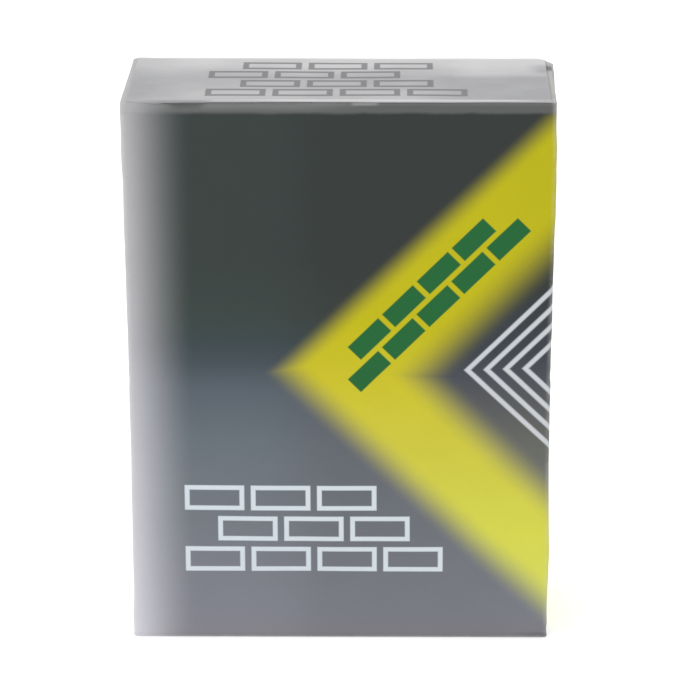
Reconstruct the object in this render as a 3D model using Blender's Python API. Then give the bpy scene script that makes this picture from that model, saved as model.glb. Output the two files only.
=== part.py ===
"""A filled block-bottom valve sack of cement, standing upright on its folded bottom end.

Metres, +Z up. The origin is the middle of the base, on the ground. The printed front faces -Y,
the broad faces lie along X, and the valve is at the +X end of the top.
"""

import math

import bmesh
import bpy
from mathutils import Vector

# Driving sizes of the filled sack
WIDTH = 0.316
DEPTH = 0.129
HEIGHT = 0.4225

# Paper thicknesses, and the gap kept between pieces that lie on each other
PATCH_THICKNESS = 0.0012
CLEARANCE = 0.0003

# The tube: radius of its four upright edges, and how far its filled faces swell or draw in
EDGE_RADIUS = 0.005
FRONT_CROWN = 0.0030
BACK_CROWN = 0.0025
SIDE_RIDGE = 0.0014
SIDE_WAIST = 0.0011
SWELL_POWER = 0.8

# The folded ends: a small radius round the bottom, a creased slope along the top of the broad faces
BOTTOM_FOLD = 0.0030
SHOULDER_DROP = 0.0072
SHOULDER_INSET = 0.0038
END_FOLD = 0.0015

# The overlap of the tube's glued seam, down the back
SEAM_X = 0.030
SEAM_OVERLAP = 0.030
SEAM_STEP = 0.0006
SEAM_EDGE = 0.0005
SEAM_RISE = 3.0

# The cover sheets over the two folded ends
PATCH_END_MARGIN = 0.0030
PATCH_SIDE_MARGIN = 0.0002
PATCH_RADIUS = 0.003
PATCH_BEVEL = 0.0004

# The flat sleeve of the filling valve, at the +X end of the top
SLEEVE_WIDTH = 0.096
SLEEVE_LENGTH = 0.070
SLEEVE_THICKNESS = 0.0012
SLEEVE_END_MARGIN = 0.0004
SLEEVE_WALL = 0.00035
SLEEVE_MOUTH_DEPTH = 0.006
BED_OVERRUN = 0.005

# The dog-eared corner at the back of the valve end: how far the fold runs along each edge
EAR_ALONG_X = 0.006
EAR_ALONG_Y = 0.0115
EAR_ALONG_Z = 0.005

# How finely the curved faces are divided
FRONT_SPANS = 14
SIDE_SPANS = 6
CORNER_SPANS = 3
FOLD_SPANS = 3
BODY_RINGS = 22
SHARP_ANGLE = math.radians(20)

SACK_BASE = PATCH_THICKNESS + CLEARANCE
SACK_TOP = HEIGHT - PATCH_THICKNESS - CLEARANCE
SACK_HEIGHT = SACK_TOP - SACK_BASE

PRINTED_PAPER = (0.055, 0.062, 0.066)
COVER_PAPER = (0.48, 0.48, 0.485)
SLEEVE_PAPER = (0.62, 0.60, 0.56)


def clear_scene():
    """Take away whatever the scene holds."""
    for item in list(bpy.data.objects):
        bpy.data.objects.remove(item, do_unlink=True)


def paper_material(name, colour, roughness):
    """A paper of one colour, in linear RGB."""
    material = bpy.data.materials.new(name)
    material.use_nodes = True
    shader = material.node_tree.nodes["Principled BSDF"]
    shader.inputs["Base Color"].default_value = (*colour, 1.0)
    shader.inputs["Roughness"].default_value = roughness
    shader.inputs["Metallic"].default_value = 0.0
    material.diffuse_color = (*colour, 1.0)
    return material


def add_object(name, mesh_data, material=None):
    """Turn a bmesh into an object of the scene."""
    mesh = bpy.data.meshes.new(name)
    mesh_data.to_mesh(mesh)
    mesh_data.free()
    if material is not None:
        mesh.materials.append(material)
    mesh.shade_smooth()
    mesh.set_sharp_from_angle(angle=SHARP_ANGLE)
    item = bpy.data.objects.new(name, mesh)
    bpy.context.scene.collection.objects.link(item)
    return item


def swell_at(z):
    """How far the filling pushes the faces out at height z: 0 at both ends, 1 at the middle."""
    share = min(max((z - SACK_BASE) / SACK_HEIGHT, 0.0), 1.0)
    return math.sin(math.pi * share) ** SWELL_POWER


def corner_arc(centre_x, centre_y, radius, start_degrees, spans):
    """The points inside a quarter turn, without its two ends."""
    points = []
    for step in range(1, spans):
        angle = math.radians(start_degrees + 90.0 * step / spans)
        points.append((centre_x + radius * math.cos(angle), centre_y + radius * math.sin(angle)))
    return points


def seam_height(x):
    """The step of the glued overlap on the back: sharp at its free edge, then fading out."""
    along = x - SEAM_X
    if along < SEAM_EDGE / 2 or along > SEAM_OVERLAP:
        return 0.0
    return SEAM_STEP * (SEAM_OVERLAP - along) / (SEAM_OVERLAP - SEAM_EDGE)


def sack_outline(z, inset_x, inset_y):
    """The outline of the tube at height z, anticlockwise from the front left corner."""
    swell = swell_at(z)
    half_x = WIDTH / 2 - inset_x - SIDE_WAIST * swell
    half_y = DEPTH / 2 - inset_y
    flat_x = half_x - EDGE_RADIUS
    flat_y = half_y - EDGE_RADIUS

    broad = [-1.0 + 2.0 * step / FRONT_SPANS for step in range(FRONT_SPANS + 1)]
    narrow = [-1.0 + 2.0 * step / SIDE_SPANS for step in range(SIDE_SPANS + 1)]
    seam_lines = [SEAM_X, SEAM_X + SEAM_EDGE, SEAM_X + SEAM_OVERLAP]
    panel_half = WIDTH / 2 - EDGE_RADIUS
    back = sorted(broad + [line / panel_half for line in seam_lines], reverse=True)

    front_points = [(flat_x * t, -half_y - FRONT_CROWN * swell * (1 - t * t)) for t in broad]
    right_points = [(half_x + SIDE_RIDGE * swell * (1 - abs(t)), flat_y * t) for t in narrow]
    back_points = []
    for t in back:
        step = seam_height(t * panel_half) * min(1.0, SEAM_RISE * swell)
        back_points.append((flat_x * t, half_y + BACK_CROWN * swell * (1 - t * t) + step))
    left_points = [(-x, -y) for x, y in right_points]

    outline = front_points
    outline += corner_arc(flat_x, -flat_y, EDGE_RADIUS, -90, CORNER_SPANS)
    outline += right_points
    outline += corner_arc(flat_x, flat_y, EDGE_RADIUS, 0, CORNER_SPANS)
    outline += back_points
    outline += corner_arc(-flat_x, flat_y, EDGE_RADIUS, 90, CORNER_SPANS)
    outline += left_points
    outline += corner_arc(-flat_x, -flat_y, EDGE_RADIUS, 180, CORNER_SPANS)
    return [Vector((x, y, z)) for x, y in outline]


def sack_levels():
    """Height and insets of each ring, from the bottom fold to the top crease."""
    levels = []
    for step in range(FOLD_SPANS):
        angle = math.radians(90.0 * step / FOLD_SPANS)
        inset = BOTTOM_FOLD * (1 - math.sin(angle))
        levels.append((SACK_BASE + BOTTOM_FOLD * (1 - math.cos(angle)), inset, inset))
    low = SACK_BASE + BOTTOM_FOLD
    high = SACK_TOP - SHOULDER_DROP
    for step in range(BODY_RINGS + 1):
        levels.append((low + (high - low) * step / BODY_RINGS, 0.0, 0.0))
    slope_share = (SHOULDER_DROP - END_FOLD) / SHOULDER_DROP
    levels.append((SACK_TOP - END_FOLD, 0.0, SHOULDER_INSET * slope_share))
    levels.append((SACK_TOP, END_FOLD, SHOULDER_INSET))
    return levels


def loft(rings):
    """A closed body through rings with equal numbers of points, each anticlockwise, bottom to top."""
    body = bmesh.new()
    rows = [[body.verts.new(point) for point in ring] for ring in rings]
    count = len(rows[0])
    for lower, upper in zip(rows, rows[1:]):
        for index in range(count):
            following = (index + 1) % count
            body.faces.new((lower[index], lower[following], upper[following], upper[index]))
    body.faces.new(rows[-1])
    body.faces.new(list(reversed(rows[0])))
    return body


def fold_down_ear(body):
    """Cut a body at the plane of the dog-eared corner, and close the cut."""
    corner = Vector((WIDTH / 2 - END_FOLD, DEPTH / 2 - SHOULDER_INSET, HEIGHT))
    on_x = corner - Vector((EAR_ALONG_X, 0.0, 0.0))
    on_y = corner - Vector((0.0, EAR_ALONG_Y, 0.0))
    on_z = corner - Vector((0.0, 0.0, EAR_ALONG_Z))
    outward = (on_y - on_x).cross(on_z - on_x).normalized()
    if outward.dot(corner - on_x) < 0:
        outward.negate()
    everything = body.verts[:] + body.edges[:] + body.faces[:]
    bmesh.ops.bisect_plane(body, geom=everything, plane_co=on_x, plane_no=outward, clear_outer=True)
    rim = [edge for edge in body.edges if edge.is_boundary]
    bmesh.ops.holes_fill(body, edges=rim)


def add_box(name, low, high):
    """A guide box between two corners, which other bodies are cut with."""
    box = bmesh.new()
    bmesh.ops.create_cube(box, size=1.0)
    middle = (Vector(low) + Vector(high)) / 2
    size = Vector(high) - Vector(low)
    for vertex in box.verts:
        vertex.co = Vector(a * b for a, b in zip(vertex.co, size)) + middle
    item = add_object(name, box)
    item.hide_render = True
    item.display_type = "WIRE"
    return item


def make_sack():
    """The folded and filled tube, with the bed of the valve sleeve pressed into its top end."""
    body = loft([sack_outline(*level) for level in sack_levels()])
    fold_down_ear(body)
    sack = add_object("sack", body, paper_material("sack_paper", PRINTED_PAPER, 0.5))

    bed_depth = SLEEVE_THICKNESS + CLEARANCE
    bed_start = WIDTH / 2 - SLEEVE_END_MARGIN - SLEEVE_LENGTH - CLEARANCE
    half_bed = SLEEVE_WIDTH / 2 + CLEARANCE
    cutter = add_box(
        "sleeve_bed_cutter",
        (bed_start, -half_bed, SACK_TOP - bed_depth),
        (WIDTH / 2 + BED_OVERRUN, half_bed, SACK_TOP + BED_OVERRUN),
    )
    cut = sack.modifiers.new("sleeve_bed", "BOOLEAN")
    cut.operation = "DIFFERENCE"
    cut.solver = "EXACT"
    cut.object = cutter


def patch_outline(z, inset):
    """The rounded rectangle of a cover sheet at height z, anticlockwise."""
    half_x = WIDTH / 2 - END_FOLD - PATCH_END_MARGIN - inset
    half_y = DEPTH / 2 - SHOULDER_INSET - PATCH_SIDE_MARGIN - inset
    corner_x = half_x - PATCH_RADIUS
    corner_y = half_y - PATCH_RADIUS
    outline = []
    for sign_x, sign_y, start in ((1, -1, -90), (1, 1, 0), (-1, 1, 90), (-1, -1, 180)):
        for step in range(CORNER_SPANS + 1):
            angle = math.radians(start + 90.0 * step / CORNER_SPANS)
            x = sign_x * corner_x + PATCH_RADIUS * math.cos(angle)
            y = sign_y * corner_y + PATCH_RADIUS * math.sin(angle)
            outline.append(Vector((x, y, z)))
    return outline


def make_top_patch():
    """The cover sheet over the folded top end; its corner follows the dog-ear."""
    low = HEIGHT - PATCH_THICKNESS
    rings = [
        patch_outline(low, 0.0),
        patch_outline(HEIGHT - PATCH_BEVEL, 0.0),
        patch_outline(HEIGHT, PATCH_BEVEL),
    ]
    body = loft(rings)
    fold_down_ear(body)
    add_object("top_patch", body, paper_material("cover_paper_top", COVER_PAPER, 0.55))


def make_bottom_patch():
    """The cover sheet over the folded bottom end, which the sack stands on."""
    rings = [
        patch_outline(0.0, PATCH_BEVEL),
        patch_outline(PATCH_BEVEL, 0.0),
        patch_outline(PATCH_THICKNESS, 0.0),
    ]
    body = loft(rings)
    add_object("bottom_patch", body, paper_material("cover_paper_bottom", COVER_PAPER, 0.55))


def make_valve_sleeve():
    """The flattened paper tube of the valve, with its mouth in the +X end."""
    outer_x = WIDTH / 2 - SLEEVE_END_MARGIN
    inner_x = outer_x - SLEEVE_LENGTH
    low = SACK_TOP - SLEEVE_THICKNESS
    sleeve = bmesh.new()
    bmesh.ops.create_cube(sleeve, size=1.0)
    middle = Vector(((inner_x + outer_x) / 2, 0.0, low + SLEEVE_THICKNESS / 2))
    size = Vector((SLEEVE_LENGTH, SLEEVE_WIDTH, SLEEVE_THICKNESS))
    for vertex in sleeve.verts:
        vertex.co = Vector(a * b for a, b in zip(vertex.co, size)) + middle
    end_face = max(sleeve.faces, key=lambda face: face.calc_center_median().x)
    bmesh.ops.inset_region(sleeve, faces=[end_face], thickness=SLEEVE_WALL)
    mouth = bmesh.ops.extrude_face_region(sleeve, geom=[end_face])
    pushed_in = [item for item in mouth["geom"] if isinstance(item, bmesh.types.BMVert)]
    bmesh.ops.translate(sleeve, verts=pushed_in, vec=(-SLEEVE_MOUTH_DEPTH, 0.0, 0.0))
    bmesh.ops.delete(sleeve, geom=[end_face], context="FACES_ONLY")
    bmesh.ops.recalc_face_normals(sleeve, faces=sleeve.faces)
    add_object("valve_sleeve", sleeve, paper_material("sleeve_paper", SLEEVE_PAPER, 0.7))


clear_scene()
make_sack()
make_top_patch()
make_bottom_patch()
make_valve_sleeve()
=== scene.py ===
"""A full block-bottom valve sack of cement on a pale studio floor."""

import math

import bpy
import numpy as np
from mathutils import Matrix, Vector


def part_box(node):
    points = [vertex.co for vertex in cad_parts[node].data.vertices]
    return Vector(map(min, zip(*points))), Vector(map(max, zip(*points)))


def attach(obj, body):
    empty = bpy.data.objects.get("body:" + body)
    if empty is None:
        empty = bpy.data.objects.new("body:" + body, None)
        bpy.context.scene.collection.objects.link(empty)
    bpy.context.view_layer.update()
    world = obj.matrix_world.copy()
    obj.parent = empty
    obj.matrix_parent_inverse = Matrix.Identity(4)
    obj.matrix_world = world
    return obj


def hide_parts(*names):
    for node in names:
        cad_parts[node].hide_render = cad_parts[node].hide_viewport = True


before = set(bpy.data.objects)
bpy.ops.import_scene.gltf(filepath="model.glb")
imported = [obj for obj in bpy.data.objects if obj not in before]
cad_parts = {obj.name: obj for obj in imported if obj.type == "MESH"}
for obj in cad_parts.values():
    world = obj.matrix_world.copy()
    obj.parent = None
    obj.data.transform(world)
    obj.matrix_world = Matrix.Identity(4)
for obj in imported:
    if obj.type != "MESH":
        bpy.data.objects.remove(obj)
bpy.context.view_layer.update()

# The camera is a long lens two and a half metres away. It stands a little to the right of the
# sack and looks down on the printed front and the top end, as the photograph does.
CAMERA_PLACE = Vector((0.0424, -2.3478, 1.0556))
CAMERA_YAW = math.radians(-0.87)
CAMERA_PITCH = math.radians(19.805)
CAMERA_ROLL = math.radians(-0.21)
CAMERA_LENS = 168.9
CAMERA_SENSOR = 36.0


def put_in_scene(name, data):
    """A new object in the scene, with its camera, light or mesh."""
    thing = bpy.data.objects.new(name, data)
    bpy.context.scene.collection.objects.link(thing)
    return thing


ahead = Vector((
    math.sin(CAMERA_YAW) * math.cos(CAMERA_PITCH),
    math.cos(CAMERA_YAW) * math.cos(CAMERA_PITCH),
    -math.sin(CAMERA_PITCH),
))
level_right = Vector((math.cos(CAMERA_YAW), -math.sin(CAMERA_YAW), 0.0))
level_up = level_right.cross(ahead)
rolled_right = level_right * math.cos(CAMERA_ROLL) + level_up * math.sin(CAMERA_ROLL)
rolled_up = level_up * math.cos(CAMERA_ROLL) - level_right * math.sin(CAMERA_ROLL)
camera_data = bpy.data.cameras.new("camera")
camera_data.lens = CAMERA_LENS
camera_data.sensor_width = CAMERA_SENSOR
camera_data.sensor_fit = "HORIZONTAL"
camera = put_in_scene("camera", camera_data)
camera.matrix_world = Matrix.Translation(CAMERA_PLACE) @ Matrix(
    (rolled_right, rolled_up, -ahead)
).transposed().to_4x4()
bpy.context.scene.camera = camera

# The studio is a wide white floor under a white sky. A large soft light stands high on the left
# in front, a weaker one on the right, and a third behind lights the floor and the sack's top end.
FLOOR_HALF = 6.0
FLOOR_DROP = 0.0001
FLOOR_WHITE = 0.75
FLOOR_ROUGHNESS = 0.9
FLOOR_GLOW = 0.42
WHITE = (1.0, 1.0, 1.0, 1.0)
SKY_STRENGTH = 0.97
LIGHT_AIM = Vector((0.0, 0.0, 0.21))
LIGHTS = {
    "key_light": {"place": (-2.1, -1.6, 1.9), "size": 1.2, "watts": 29.0},
    "fill_light": {"place": (2.2, -2.2, 1.2), "size": 2.0, "watts": 5.0},
    "back_light": {"place": (0.2, 2.6, 3.2), "size": 2.0, "watts": 14.0},
}


def new_material(name):
    """A material that is made of nodes."""
    material = bpy.data.materials.new(name)
    material.use_nodes = True
    return material


floor_mesh = bpy.data.meshes.new("floor")
floor_corners = [(-1, -1), (1, -1), (1, 1), (-1, 1)]
floor_mesh.from_pydata(
    [(x * FLOOR_HALF, y * FLOOR_HALF, -FLOOR_DROP) for x, y in floor_corners], [], [(0, 1, 2, 3)]
)
floor = put_in_scene("floor", floor_mesh)
floor_material = new_material("floor_white")
floor_shader = floor_material.node_tree.nodes["Principled BSDF"]
floor_shader.inputs["Base Color"].default_value = (FLOOR_WHITE, FLOOR_WHITE, FLOOR_WHITE, 1.0)
floor_shader.inputs["Roughness"].default_value = FLOOR_ROUGHNESS
floor_shader.inputs["Specular IOR Level"].default_value = 0.0
floor_shader.inputs["Emission Color"].default_value = WHITE
floor_shader.inputs["Emission Strength"].default_value = FLOOR_GLOW
floor_mesh.materials.append(floor_material)

for light_name, setting in LIGHTS.items():
    light_data = bpy.data.lights.new(light_name, "AREA")
    light_data.size = setting["size"]
    light_data.energy = setting["watts"]
    light = put_in_scene(light_name, light_data)
    light.location = setting["place"]
    light.rotation_euler = (LIGHT_AIM - light.location).to_track_quat("-Z", "Y").to_euler()

sky = bpy.data.worlds.new("sky")
sky.use_nodes = True
sky.node_tree.nodes["Background"].inputs["Color"].default_value = WHITE
sky.node_tree.nodes["Background"].inputs["Strength"].default_value = SKY_STRENGTH
bpy.context.scene.world = sky
bpy.context.scene.view_settings.view_transform = "Standard"


# The sack is a tube of several paper plies, the outer one printed, folded flat at both ends and
# filled to a firm block. Its broad faces swell a little, its narrow sides keep the crease of the
# flat tube, the top of each broad face leans in above a crease, and the back has the glued lap.
HALF_WIDTH = 0.158
HALF_DEPTH = 0.0645
SACK_BASE = 0.0005
SACK_TOP = 0.4218
SACK_HEIGHT = SACK_TOP - SACK_BASE
EDGE_RADIUS = 0.002
FRONT_CROWN = 0.0030
BACK_CROWN = 0.0025
SIDE_RIDGE = 0.0014
LEFT_WAIST = 0.0014
RIGHT_WAIST = 0.0018
RIGHT_WAIST_LOW = 0.82
RIGHT_FOOT_IN = 0.0010
RIGHT_FOOT_HEIGHTS = (0.028, 0.075)
SWELL_POWER = 0.8
BOTTOM_FOLD = 0.0012
SHOULDER_DROP = 0.0068
SHOULDER_INSET = 0.0038
END_FOLD = 0.0012
BULGE_OUT = 0.0015
CORNER_NIP = 0.0005
PINCH_IN = 0.0009
BULGE_HEIGHTS = (0.385, 0.405)
BULGE_FROM_X = 0.10
BACK_EASE = 0.05
SEAM_X = 0.030
SEAM_OVERLAP = 0.030
SEAM_STEP = 0.0006
SEAM_EDGE = 0.0005
SEAM_GROWTH = 3.0
FINE_STEP = 0.0026
FINE_EDGE = (0.0, 0.3, 0.65)
COARSE_STEP = 0.006
COARSE_EDGE = (0.0, 0.5)
FOLD_ANGLE = math.radians(40)
WAVE_COUNT = 9
WAVE_LENGTHS = (0.7, 1.7)


def spread(low, high, step):
    """Evenly spaced values from low to high, about one step apart."""
    return np.linspace(low, high, max(2, int(round((high - low) / step)) + 1))


def panel_lines(half, step, edge_shares, extra=()):
    """Grid lines across a panel: some in each rounded edge, even ones between, and any extra."""
    flat = half - EDGE_RADIUS
    edge = half - EDGE_RADIUS * np.array(edge_shares)
    lines = np.concatenate([-edge, spread(-flat, flat, step), edge, np.array(extra)])
    return np.unique(np.round(lines, 6))


def level_lines(step, fold_steps):
    """Heights of the rings: close together at the two folded ends, even between them."""
    turn = np.linspace(0.0, math.pi / 2, fold_steps + 1)
    bottom = SACK_BASE + BOTTOM_FOLD * (1 - np.cos(turn))
    body = spread(SACK_BASE + BOTTOM_FOLD, SACK_TOP - SHOULDER_DROP, step)
    shoulder = SACK_TOP - SHOULDER_DROP * spread(0.0, 1.0, 1.0 / (fold_steps + 2))
    top = SACK_TOP - END_FOLD * (1 - np.sin(turn))
    return np.unique(np.round(np.concatenate([bottom, body, shoulder, top]), 6))


def ease_step(value, low, high):
    """A smooth step from 0 at low to 1 at high."""
    share = np.clip((value - low) / (high - low), 0.0, 1.0)
    return share * share * (3 - 2 * share)


def height_share(z):
    """The height as a share of the sack's: 0 at its base, 1 at its top."""
    return np.clip((z - SACK_BASE) / SACK_HEIGHT, 0.0, 1.0)


def swell_at(z):
    """How far the filling pushes the faces out at height z: 0 at both ends, 1 at the middle."""
    return np.sin(math.pi * height_share(z)) ** SWELL_POWER


def waist_at(x, z):
    """How far the narrow sides are drawn in at height z. The right one is drawn in the most a
    little below its middle, and again at its foot."""
    right = RIGHT_WAIST * np.sin(math.pi * height_share(z)**RIGHT_WAIST_LOW) ** 2
    right = right + RIGHT_FOOT_IN * (1 - ease_step(z, *RIGHT_FOOT_HEIGHTS))
    return np.where(x > 0, right, LEFT_WAIST * swell_at(z))


def rounded(x, y, half_x, half_y):
    """Bring the points in the four corner squares of a rectangle onto its rounded corners."""
    over_x = np.clip((np.abs(x) - (half_x - EDGE_RADIUS)) / EDGE_RADIUS, 0.0, 1.0)
    over_y = np.clip((np.abs(y) - (half_y - EDGE_RADIUS)) / EDGE_RADIUS, 0.0, 1.0)
    disc_x = over_x * np.sqrt(1 - over_y**2 / 2)
    disc_y = over_y * np.sqrt(1 - over_x**2 / 2)
    new_x = x - np.sign(x) * (over_x - disc_x) * EDGE_RADIUS
    new_y = y - np.sign(y) * (over_y - disc_y) * EDGE_RADIUS
    return new_x, new_y


def fold_inset(from_edge, radius):
    """How far a rounded fold is drawn in, at a height from its edge."""
    share = np.clip(1 - from_edge / radius, 0.0, 1.0)
    return radius * (1 - np.sqrt(1 - share**2))


def seam_height(x):
    """The step of the glued lap on the back: sharp at its free edge, then fading out."""
    along = x - SEAM_X
    step = SEAM_STEP * (SEAM_OVERLAP - along) / (SEAM_OVERLAP - SEAM_EDGE)
    return np.where((along < SEAM_EDGE / 2) | (along > SEAM_OVERLAP), 0.0, step)


def filled_shape(x, y, z):
    """Where a point of the flat-sided box lies on the filled sack."""
    swell = swell_at(z)
    bottom_inset = fold_inset(z - SACK_BASE, BOTTOM_FOLD)
    end_inset = fold_inset(SACK_TOP - z, END_FOLD)
    slope = np.clip(1 - (SACK_TOP - z) / SHOULDER_DROP, 0.0, 1.0)
    half_x = HALF_WIDTH - bottom_inset - end_inset - waist_at(x, z)
    half_y = HALF_DEPTH - bottom_inset - SHOULDER_INSET * slope
    wide = x * half_x / HALF_WIDTH
    deep = y * half_y / HALF_DEPTH
    share_x = np.clip(np.abs(wide) / (half_x - EDGE_RADIUS), 0.0, 1.0)
    share_y = np.clip(np.abs(deep) / (half_y - EDGE_RADIUS), 0.0, 1.0)
    new_x, new_y = rounded(wide, deep, half_x, half_y)
    on_front = np.isclose(y, -HALF_DEPTH)
    on_back = np.isclose(y, HALF_DEPTH)
    on_end = np.isclose(np.abs(x), HALF_WIDTH)
    new_y = new_y - np.where(on_front, FRONT_CROWN * swell * (1 - share_x**2), 0.0)
    lap = seam_height(x) * np.minimum(1.0, SEAM_GROWTH * swell)
    new_y = new_y + np.where(on_back, BACK_CROWN * swell * (1 - share_x**2) + lap, 0.0)
    new_x = new_x + np.where(on_end, np.sign(x) * SIDE_RIDGE * swell * (1 - share_y), 0.0)
    at_back = ease_step(y, -BACK_EASE, BACK_EASE)
    bulge = BULGE_OUT * at_back - CORNER_NIP * (1 - at_back)
    bulge = bulge * ease_step(x, BULGE_FROM_X, HALF_WIDTH)
    pinch = PINCH_IN * at_back * ease_step(-x, BULGE_FROM_X, HALF_WIDTH)
    new_x = new_x + (bulge + pinch) * ease_step(z, *BULGE_HEIGHTS)
    return np.stack([new_x, new_y, z + 0.0 * new_x], axis=-1)


def smooth_but_for_folds(mesh):
    """Shade a mesh smooth, with sharp edges only where it is folded."""
    mesh.shade_smooth()
    mesh.set_sharp_from_angle(angle=FOLD_ANGLE)


class PaperBox:
    """The sack as a grid of rings round the tube and a grid over each end."""

    def __init__(self, lines_x, lines_y, levels):
        self.levels = levels
        front = [(x, -HALF_DEPTH) for x in lines_x[:-1]]
        right = [(HALF_WIDTH, y) for y in lines_y[:-1]]
        back = [(x, HALF_DEPTH) for x in lines_x[:0:-1]]
        left = [(-HALF_WIDTH, y) for y in lines_y[:0:-1]]
        self.loop = np.array(front + right + back + left)
        steps = np.abs(np.roll(self.loop, -1, axis=0) - self.loop).sum(axis=1)
        self.along = np.concatenate([[0.0], np.cumsum(steps)])
        self.around = len(self.loop)
        self.rings = np.array([
            filled_shape(self.loop[:, 0], self.loop[:, 1], z) for z in levels
        ])
        self.end_points = []
        self.faces = []
        self.uvs = []
        self.add_tube_faces()
        for level, outward in ((0, -1), (len(levels) - 1, 1)):
            self.add_end(lines_x, lines_y, level, outward)
        self.end_points = np.array(self.end_points)

    def add_tube_faces(self):
        for row in range(len(self.levels) - 1):
            for column in range(self.around):
                after = (column + 1) % self.around
                low, high = row * self.around, (row + 1) * self.around
                self.faces.append((low + column, low + after, high + after, high + column))
                left, right = self.along[column], self.along[column + 1]
                bottom, top = self.levels[row], self.levels[row + 1]
                self.uvs += [(left, bottom), (right, bottom), (right, top), (left, top)]

    def add_end(self, lines_x, lines_y, level, outward):
        z = self.levels[level]
        ring = {(x, y): level * self.around + index for index, (x, y) in enumerate(self.loop)}
        place = {}
        for x in lines_x:
            for y in lines_y:
                place[x, y] = ring.get((x, y))
                if place[x, y] is None:
                    place[x, y] = len(self.levels) * self.around + len(self.end_points)
                    self.end_points.append(filled_shape(x, y, z))
        for x0, x1 in zip(lines_x, lines_x[1:]):
            for y0, y1 in zip(lines_y, lines_y[1:]):
                corners = [(x0, y0), (x1, y0), (x1, y1), (x0, y1)]
                if outward < 0:
                    corners.reverse()
                self.faces.append(tuple(place[corner] for corner in corners))
                self.uvs += [(x + HALF_WIDTH, z + outward * (y + HALF_DEPTH)) for x, y in corners]

    def make_mesh(self, name):
        points = np.concatenate([self.rings.reshape(-1, 3), self.end_points])
        mesh = bpy.data.meshes.new(name)
        mesh.from_pydata([tuple(point) for point in points], [], self.faces)
        layer = mesh.uv_layers.new(name="wrap")
        layer.data.foreach_set("uv", np.array(self.uvs, dtype=np.float32).ravel())
        smooth_but_for_folds(mesh)
        return mesh


def soft_waves(x, y, wavelength, seed):
    """Smooth random hills about one high, from a few crossing waves."""
    random = np.random.default_rng(seed)
    total = 0.0
    for _ in range(WAVE_COUNT):
        heading, phase = random.uniform(0.0, 2 * math.pi, 2)
        length = wavelength * random.uniform(*WAVE_LENGTHS)
        way = x * math.cos(heading) + y * math.sin(heading)
        total = total + np.sin(2 * math.pi * way / length + phase)
    return total / math.sqrt(WAVE_COUNT)


# The paper is let go over the filling as cloth: a little longer than the block it wraps, pushed
# out softly by the powder, held at both folded ends and lightly and unevenly everywhere else.
PAPER_AS_CLOTH = {
    "quality": 5,
    "mass": 0.3,
    "air_damping": 5.0,
    "tension_stiffness": 40.0,
    "compression_stiffness": 40.0,
    "shear_stiffness": 20.0,
    "bending_stiffness": 20.0,
    "tension_damping": 10.0,
    "compression_damping": 10.0,
    "shear_damping": 10.0,
    "bending_damping": 1.0,
    "pin_stiffness": 1.0,
    "use_pressure": True,
    "uniform_pressure_force": 0.2,
    "shrink_min": -0.004,
}
FOLD_HOLD = 0.020
FOLD_HOLD_POWER = 1.5
PANEL_HOLD = 0.03
LEAST_HOLD = 0.2
HOLD_UNEVEN = 0.6
HOLD_LENGTH = 0.11
EDGE_HOLD = 0.25
EDGE_MARGIN = 1e-6
SETTLE_FRAMES = 20
MOST_PLAY = 0.0023
FRONT_PLAY = 0.40
FRONT_REACH = 0.02


def smooth_grid(offsets, passes):
    """Average each ring point with its neighbours, round the tube and up and down it."""
    for _ in range(passes):
        offsets = (np.roll(offsets, 1, axis=1) + 2 * offsets + np.roll(offsets, -1, axis=1)) / 4
        inner = (offsets[:-2] + 2 * offsets[1:-1] + offsets[2:]) / 4
        offsets = np.concatenate([offsets[:1], inner, offsets[-1:]])
    return offsets


def settle_paper(box):
    """Let the paper tube settle over its filling as cloth: how far each ring point moves."""
    settling = put_in_scene("settling_paper", box.make_mesh("settling_paper"))
    heights = np.repeat(box.levels, box.around)
    way_round = np.tile(box.along[:-1], len(box.levels))
    to_end = np.minimum(heights - box.levels[0], box.levels[-1] - heights)
    hills = soft_waves(way_round, heights, HOLD_LENGTH, seed=5)
    firmness = PANEL_HOLD * (1.0 + HOLD_UNEVEN * hills)
    firmness = np.clip(firmness, LEAST_HOLD * PANEL_HOLD, 1.0)
    on_edge = np.abs(box.loop[:, 0]) > HALF_WIDTH - EDGE_RADIUS - EDGE_MARGIN
    on_edge &= np.abs(box.loop[:, 1]) > HALF_DEPTH - EDGE_RADIUS - EDGE_MARGIN
    firmness = np.where(np.tile(on_edge, len(box.levels)), EDGE_HOLD, firmness)
    near_end = np.clip(1 - to_end / FOLD_HOLD, 0.0, 1.0)
    firmness = np.maximum(firmness, near_end**FOLD_HOLD_POWER)
    held = settling.vertex_groups.new(name="held")
    for index, weight in enumerate(firmness):
        held.add([index], float(weight), "REPLACE")
    held.add(list(range(len(firmness), len(settling.data.vertices))), 1.0, "REPLACE")
    modifier = settling.modifiers.new("paper", "CLOTH")
    for name, value in PAPER_AS_CLOTH.items():
        setattr(modifier.settings, name, value)
    modifier.settings.vertex_group_mass = held.name
    modifier.settings.effector_weights.gravity = 0.0
    modifier.collision_settings.use_collision = False
    modifier.collision_settings.use_self_collision = False
    modifier.point_cache.frame_end = SETTLE_FRAMES
    for step in range(1, SETTLE_FRAMES + 1):
        bpy.context.scene.frame_set(step)
    settled = settling.evaluated_get(bpy.context.evaluated_depsgraph_get())
    places = np.empty(len(settling.data.vertices) * 3, dtype=np.float32)
    settled.data.vertices.foreach_get("co", places)
    rings = places.reshape(-1, 3)[: len(firmness)].reshape(box.rings.shape)
    bpy.context.scene.frame_set(1)
    bpy.data.objects.remove(settling)
    return smooth_grid(rings - box.rings, passes=2)


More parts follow.
